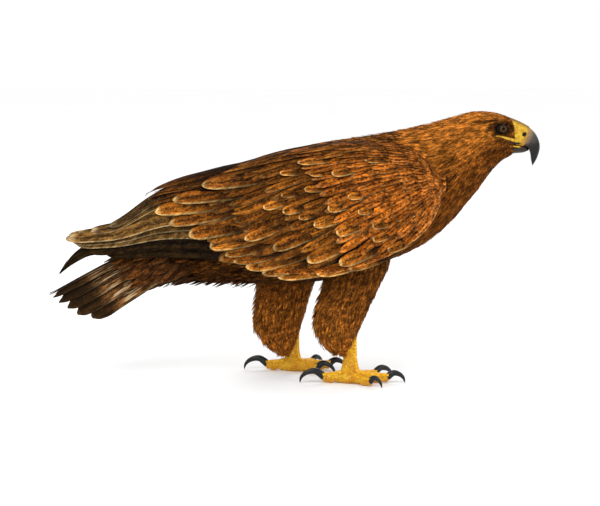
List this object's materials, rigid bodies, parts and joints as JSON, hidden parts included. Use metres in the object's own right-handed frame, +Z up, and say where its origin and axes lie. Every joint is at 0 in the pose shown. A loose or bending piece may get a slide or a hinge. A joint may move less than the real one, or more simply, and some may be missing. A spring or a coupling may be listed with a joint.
{
  "type": "golden eagle figure",
  "caption": "Life-size still figure of a golden eagle standing on the floor, wings folded, with layered flight feathers, hooked bill and arched talons.",
  "frame": {"origin": "on the floor, under the middle of the bird's length and between its feet", "axes": "+X forward, from tail to bill; +Y to the bird's left; +Z up"},
  "size_m": [0.8085, 0.2062, 0.4392],
  "materials": {
    "body_feathers": "matte dark brown feathers",
    "nape_feathers": "matte golden brown feathers",
    "wing_feathers": "matte brown feathers with paler edges",
    "tail_feathers": "matte dark brown feathers with paler bars",
    "yellow_skin": "satin scaly yellow skin",
    "horn": "polished dark horn",
    "eye": "glossy amber brown eye"
  },
  "bodies": {
    "root": {"torso": "body_feathers", "neck": "nape_feathers", "head": "nape_feathers", "cere": "yellow_skin", "bill_upper": "horn", "bill_lower": "horn", "tail": "tail_feathers", "eye_left": "eye", "eye_right": "eye", "wing_left": "wing_feathers", "wing_right": "wing_feathers", "thigh_right": "body_feathers", "shank_right": "yellow_skin", "foot_right": "yellow_skin", "toe_right_middle": "yellow_skin", "talon_right_middle": "horn", "toe_right_inner": "yellow_skin", "talon_right_inner": "horn", "toe_right_outer": "yellow_skin", "talon_right_outer": "horn", "toe_right_hallux": "yellow_skin", "talon_right_hallux": "horn", "thigh_left": "body_feathers", "shank_left": "yellow_skin", "foot_left": "yellow_skin", "toe_left_middle": "yellow_skin", "talon_left_middle": "horn", "toe_left_inner": "yellow_skin", "talon_left_inner": "horn", "toe_left_outer": "yellow_skin", "talon_left_outer": "horn", "toe_left_hallux": "yellow_skin", "talon_left_hallux": "horn"}
  },
  "joints": []
}
